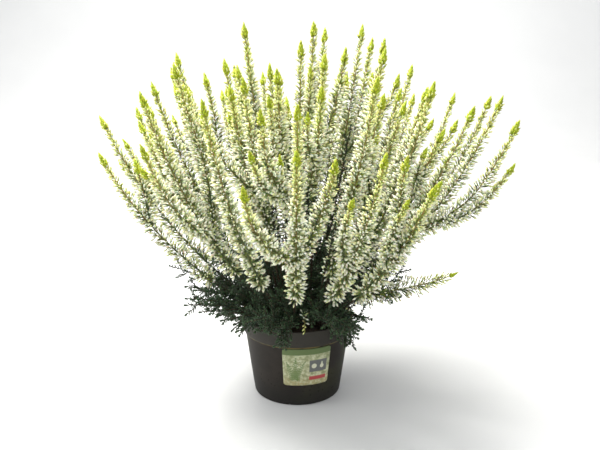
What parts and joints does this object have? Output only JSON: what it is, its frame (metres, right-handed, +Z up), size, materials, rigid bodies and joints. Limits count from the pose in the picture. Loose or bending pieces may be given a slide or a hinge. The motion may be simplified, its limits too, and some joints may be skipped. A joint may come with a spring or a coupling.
{
  "type": "potted heather",
  "caption": "White-flowering heather in a round dark plastic nursery pot, its upright spikes ending in bright green tips.",
  "frame": {"origin": "centre of the pot's underside, on the surface the pot stands on", "axes": "+Z up along the pot's axis, -Y towards the front with the sticker, +X to the right seen from the front"},
  "size_m": [0.4053, 0.4066, 0.3914],
  "materials": {
    "olive_plastic": "satin",
    "printed_paper": "satin",
    "peat_soil": "matte",
    "heather_leaves": "matte",
    "heather_flowers": "matte"
  },
  "bodies": {
    "root": {"pot": "olive_plastic", "sticker": "printed_paper", "soil": "peat_soil", "leafy_stems_1": "heather_leaves", "leafy_stems_2": "heather_leaves", "leafy_stems_3": "heather_leaves", "leafy_stems_4": "heather_leaves", "leafy_stems_5": "heather_leaves", "flower_spike_01": "heather_flowers", "flower_spike_02": "heather_flowers", "flower_spike_03": "heather_flowers", "flower_spike_04": "heather_flowers", "flower_spike_05": "heather_flowers", "flower_spike_06": "heather_flowers", "flower_spike_07": "heather_flowers", "flower_spike_08": "heather_flowers", "flower_spike_09": "heather_flowers", "flower_spike_10": "heather_flowers", "flower_spike_11": "heather_flowers", "flower_spike_12": "heather_flowers", "flower_spike_13": "heather_flowers", "flower_spike_14": "heather_flowers", "flower_spike_15": "heather_flowers", "flower_spike_16": "heather_flowers", "flower_spike_17": "heather_flowers", "flower_spike_18": "heather_flowers", "flower_spike_19": "heather_flowers", "flower_spike_20": "heather_flowers", "flower_spike_21": "heather_flowers", "flower_spike_22": "heather_flowers", "flower_spike_23": "heather_flowers", "flower_spike_24": "heather_flowers", "flower_spike_25": "heather_flowers", "flower_spike_26": "heather_flowers", "flower_spike_27": "heather_flowers", "flower_spike_28": "heather_flowers", "flower_spike_29": "heather_flowers", "flower_spike_30": "heather_flowers", "flower_spike_31": "heather_flowers", "flower_spike_32": "heather_flowers", "flower_spike_33": "heather_flowers", "flower_spike_34": "heather_flowers", "flower_spike_35": "heather_flowers", "flower_spike_36": "heather_flowers", "flower_spike_37": "heather_flowers", "flower_spike_38": "heather_flowers", "flower_spike_39": "heather_flowers", "flower_spike_40": "heather_flowers", "flower_spike_41": "heather_flowers", "flower_spike_42": "heather_flowers", "flower_spike_43": "heather_flowers", "flower_spike_44": "heather_flowers", "low_flower_spike": "heather_flowers", "hanging_flower_sprig_1": "heather_flowers", "hanging_flower_sprig_2": "heather_flowers"}
  },
  "joints": []
}
